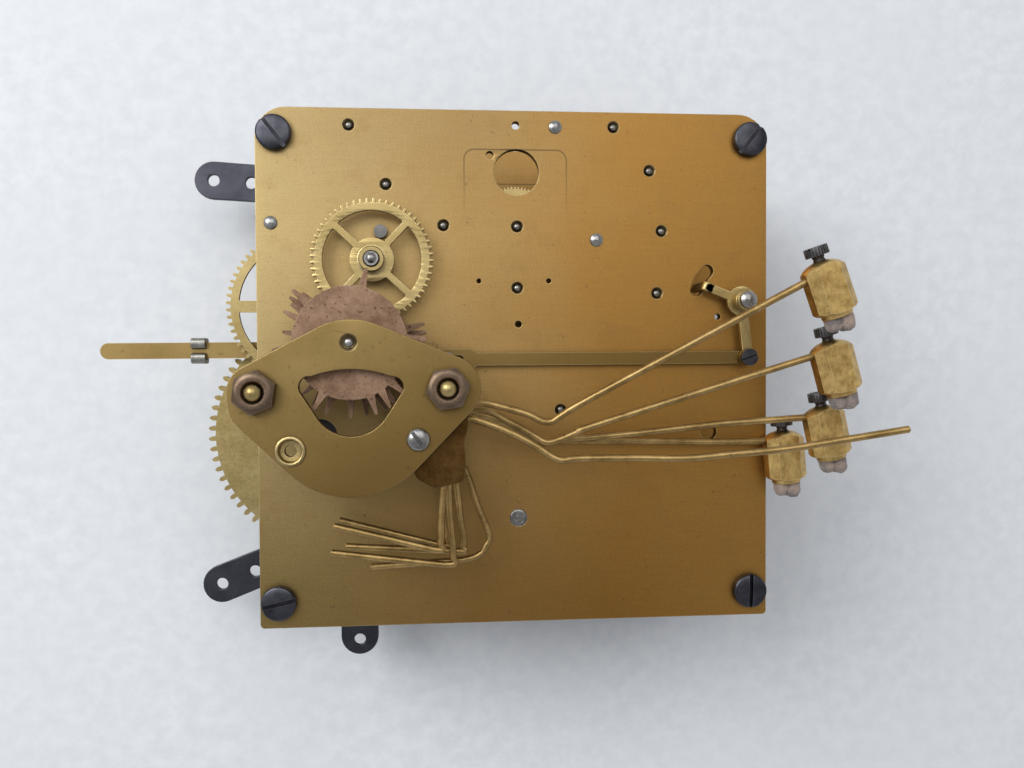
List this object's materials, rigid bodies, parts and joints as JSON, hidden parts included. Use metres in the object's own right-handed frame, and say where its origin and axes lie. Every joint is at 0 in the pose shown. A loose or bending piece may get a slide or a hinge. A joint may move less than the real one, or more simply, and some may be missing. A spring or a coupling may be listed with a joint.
{
  "type": "clock movement",
  "caption": "Chiming clock movement: two brass plates, going, chime and strike trains, a chime drum under a bridge, and hammers on bent rods.",
  "frame": {"origin": "tip of the hand arbor, on the surface that the movement lies on", "axes": "+Z out of the back plate along the arbors, +Y to 12 o'clock, +X to the right seen from the back"},
  "size_m": [0.1784, 0.1405, 0.0901],
  "materials": {
    "plate_brass": "aged satin",
    "wheel_brass": "satin",
    "bridge_brass": "dull olive",
    "bronze_nut": "tarnished",
    "blued_steel": "blued",
    "steel": "bright",
    "dark_steel": "grey",
    "spring_steel": "blue grey",
    "copper_brown": "matt oxidised",
    "head_brass": "worn",
    "leather": "worn fibrous"
  },
  "bodies": {
    "frame": {"back_plate": "plate_brass", "front_plate": "plate_brass", "pillars": "plate_brass", "pillar_screws": "blued_steel", "mounting_straps": "blued_steel", "strap_screw": "blued_steel", "drum_bridge": "bridge_brass", "bridge_studs": "wheel_brass", "bridge_nuts": "bronze_nut", "bridge_bush": "wheel_brass", "hammer_arbor": "steel", "steel_studs": "steel", "fourth_wheel_cock": "plate_brass"},
    "chime_barrel": {"chime_barrel": "wheel_brass", "chime_barrel_cap": "wheel_brass", "chime_mainspring": "spring_steel"},
    "chime_winding": {"chime_winding_arbor": "blued_steel"},
    "chime_click": {"chime_click": "dark_steel"},
    "chime_second": {"chime_second_wheel": "wheel_brass"},
    "chime_third": {"chime_third_wheel": "wheel_brass", "chime_ratio_wheel": "wheel_brass"},
    "drum": {"chime_drum": "copper_brown", "drum_gear": "wheel_brass"},
    "chime_warning": {"chime_warning_wheel": "wheel_brass"},
    "chime_fly": {"chime_fly": "steel"},
    "going_barrel": {"going_barrel": "wheel_brass", "going_barrel_cap": "wheel_brass", "going_mainspring": "spring_steel"},
    "going_winding": {"going_winding_arbor": "dark_steel"},
    "going_click": {"going_click": "dark_steel"},
    "intermediate": {"intermediate_wheel": "wheel_brass"},
    "centre": {"centre_wheel": "wheel_brass", "cannon_pinion": "steel"},
    "third": {"third_wheel": "wheel_brass"},
    "fourth": {"fourth_wheel": "wheel_brass"},
    "minute": {"minute_wheel": "wheel_brass"},
    "hour": {"hour_wheel": "wheel_brass"},
    "strike_pin": {"strike_pin_wheel": "wheel_brass"},
    "strike_second": {"strike_second_wheel": "wheel_brass"},
    "strike_third": {"strike_third_wheel": "wheel_brass"},
    "strike_fly": {"strike_fly": "steel"},
    "crank": {"strike_crank": "bridge_brass", "lift_bar_screw": "blued_steel"},
    "lift_bar": {"lift_bar": "bridge_brass"},
    "silent": {"silent_lever": "bridge_brass", "lever_clip": "dark_steel"},
    "hammer_1": {"hammer_1": "copper_brown", "hammer_head_1": "head_brass", "hammer_leather_1": "leather"},
    "hammer_2": {"hammer_2": "copper_brown", "hammer_head_2": "head_brass", "hammer_leather_2": "leather"},
    "hammer_3": {"hammer_3": "copper_brown", "hammer_head_3": "head_brass", "hammer_leather_3": "leather"},
    "hammer_4": {"hammer_4": "copper_brown", "hammer_head_4": "head_brass", "hammer_leather_4": "leather"},
    "hammer_5": {"hammer_5": "copper_brown"}
  },
  "joints": [
    {"name": "centre_spin", "type": "hinge", "parent": "frame", "child": "centre", "pos_m": [0, 0, 0.04], "axis": [0, 0, 1], "continuous": true},
    {"name": "going_barrel_spin", "type": "hinge", "parent": "frame", "child": "going_barrel", "pos_m": [0, -0.0541, 0.04], "axis": [0, 0, 1], "continuous": true},
    {"name": "intermediate_spin", "type": "hinge", "parent": "frame", "child": "intermediate", "pos_m": [0.0101, -0.0287, 0.04], "axis": [0, 0, 1], "continuous": true},
    {"name": "third_spin", "type": "hinge", "parent": "frame", "child": "third", "pos_m": [-0.0172, 0.0145, 0.04], "axis": [0, 0, 1], "continuous": true},
    {"name": "fourth_spin", "type": "hinge", "parent": "frame", "child": "fourth", "pos_m": [0, 0.01435, 0.05], "axis": [0, 0, 1], "continuous": true},
    {"name": "minute_spin", "type": "hinge", "parent": "frame", "child": "minute", "pos_m": [-0.0099, -0.0099, 0.015], "axis": [0, 0, 1], "continuous": true},
    {"name": "hour_spin", "type": "hinge", "parent": "frame", "child": "hour", "pos_m": [0, 0, 0.012], "axis": [0, 0, 1], "continuous": true},
    {"name": "going_winding_spin", "type": "hinge", "parent": "frame", "child": "going_winding", "pos_m": [0, -0.0541, 0.02], "axis": [0, 0, 1], "continuous": true},
    {"name": "going_click_hinge", "type": "hinge", "parent": "frame", "child": "going_click", "pos_m": [0.00688, -0.04427, 0.0168], "axis": [0, 0, 1], "range_deg": [0, 12]},
    {"name": "chime_third_spin", "type": "hinge", "parent": "frame", "child": "chime_third", "pos_m": [-0.0334, 0.006, 0.04], "axis": [0, 0, 1], "continuous": true},
    {"name": "chime_barrel_spin", "type": "hinge", "parent": "frame", "child": "chime_barrel", "pos_m": [-0.046, -0.0343, 0.04], "axis": [0, 0, 1], "continuous": true},
    {"name": "chime_second_spin", "type": "hinge", "parent": "frame", "child": "chime_second", "pos_m": [-0.0502, -0.004, 0.04], "axis": [0, 0, 1], "continuous": true},
    {"name": "drum_spin", "type": "hinge", "parent": "frame", "child": "drum", "pos_m": [-0.0373, -0.0131, 0.07], "axis": [0, 0, 1], "continuous": true},
    {"name": "chime_warning_spin", "type": "hinge", "parent": "frame", "child": "chime_warning", "pos_m": [-0.0304, 0.0239, 0.04], "axis": [0, 0, 1], "continuous": true},
    {"name": "chime_fly_spin", "type": "hinge", "parent": "frame", "child": "chime_fly", "pos_m": [-0.0388, 0.0374, 0.04], "axis": [0, 0, 1], "continuous": true},
    {"name": "chime_winding_spin", "type": "hinge", "parent": "frame", "child": "chime_winding", "pos_m": [-0.046, -0.0343, 0.02], "axis": [0, 0, 1], "continuous": true},
    {"name": "chime_click_hinge", "type": "hinge", "parent": "frame", "child": "chime_click", "pos_m": [-0.04495, -0.02235, 0.0168], "axis": [0, 0, 1], "range_deg": [0, 12]},
    {"name": "strike_second_spin", "type": "hinge", "parent": "frame", "child": "strike_second", "pos_m": [0.0344, 0.0135, 0.04], "axis": [0, 0, 1], "continuous": true},
    {"name": "strike_pin_spin", "type": "hinge", "parent": "frame", "child": "strike_pin", "pos_m": [0.0333, -0.0012, 0.04], "axis": [0, 0, 1], "continuous": true},
    {"name": "strike_third_spin", "type": "hinge", "parent": "frame", "child": "strike_third", "pos_m": [0.0315, 0.0277, 0.04], "axis": [0, 0, 1], "continuous": true},
    {"name": "strike_fly_spin", "type": "hinge", "parent": "frame", "child": "strike_fly", "pos_m": [0.0229, 0.0378, 0.04], "axis": [0, 0, 1], "continuous": true},
    {"name": "crank_hinge", "type": "hinge", "parent": "frame", "child": "crank", "pos_m": [0.0528, -0.0033, 0.064], "axis": [0, 0, -1], "range_deg": [0, 10]},
    {"name": "lift_bar_slide", "type": "slide", "parent": "frame", "child": "lift_bar", "axis": [-1, 0, 0], "range_m": [0, 0.0023]},
    {"name": "silent_hinge", "type": "hinge", "parent": "frame", "child": "silent", "pos_m": [-0.02, -0.014, 0.0516], "axis": [0, 0, 1], "range_deg": [-4, 6]},
    {"name": "hammer_1_hinge", "type": "hinge", "parent": "frame", "child": "hammer_1", "pos_m": [-0.0229, -0.0336, 0.0734], "axis": [0, 0, 1], "range_deg": [0, 8]},
    {"name": "hammer_2_hinge", "type": "hinge", "parent": "frame", "child": "hammer_2", "pos_m": [-0.0229, -0.0336, 0.0704], "axis": [0, 0, 1], "range_deg": [0, 8]},
    {"name": "hammer_3_hinge", "type": "hinge", "parent": "frame", "child": "hammer_3", "pos_m": [-0.0229, -0.0336, 0.0674], "axis": [0, 0, 1], "range_deg": [0, 8]},
    {"name": "hammer_4_hinge", "type": "hinge", "parent": "frame", "child": "hammer_4", "pos_m": [-0.0229, -0.0336, 0.0644], "axis": [0, 0, 1], "range_deg": [0, 8]},
    {"name": "hammer_5_hinge", "type": "hinge", "parent": "frame", "child": "hammer_5", "pos_m": [-0.0229, -0.0336, 0.0764], "axis": [0, 0, 1], "range_deg": [0, 8]}
  ],
  "couplings": [
    {"joint": "intermediate_spin", "follows": "centre_spin", "ratio": -0.25926},
    {"joint": "going_barrel_spin", "follows": "centre_spin", "ratio": 0.031425},
    {"joint": "third_spin", "follows": "centre_spin", "ratio": -7.5},
    {"joint": "fourth_spin", "follows": "centre_spin", "ratio": 37.5},
    {"joint": "minute_spin", "follows": "centre_spin", "ratio": -0.33333},
    {"joint": "hour_spin", "follows": "centre_spin", "ratio": 0.083333},
    {"joint": "chime_second_spin", "follows": "chime_third_spin", "ratio": -0.125},
    {"joint": "chime_barrel_spin", "follows": "chime_third_spin", "ratio": 0.014706},
    {"joint": "drum_spin", "follows": "chime_third_spin", "ratio": -2.28},
    {"joint": "chime_warning_spin", "follows": "chime_third_spin", "ratio": -6},
    {"joint": "chime_fly_spin", "follows": "chime_third_spin", "ratio": 30},
    {"joint": "strike_pin_spin", "follows": "strike_second_spin", "ratio": -0.13333},
    {"joint": "strike_third_spin", "follows": "strike_second_spin", "ratio": -6},
    {"joint": "strike_fly_spin", "follows": "strike_second_spin", "ratio": 30},
    {"joint": "crank_hinge", "follows": "lift_bar_slide", "rad_per_m": 75.758}
  ]
}
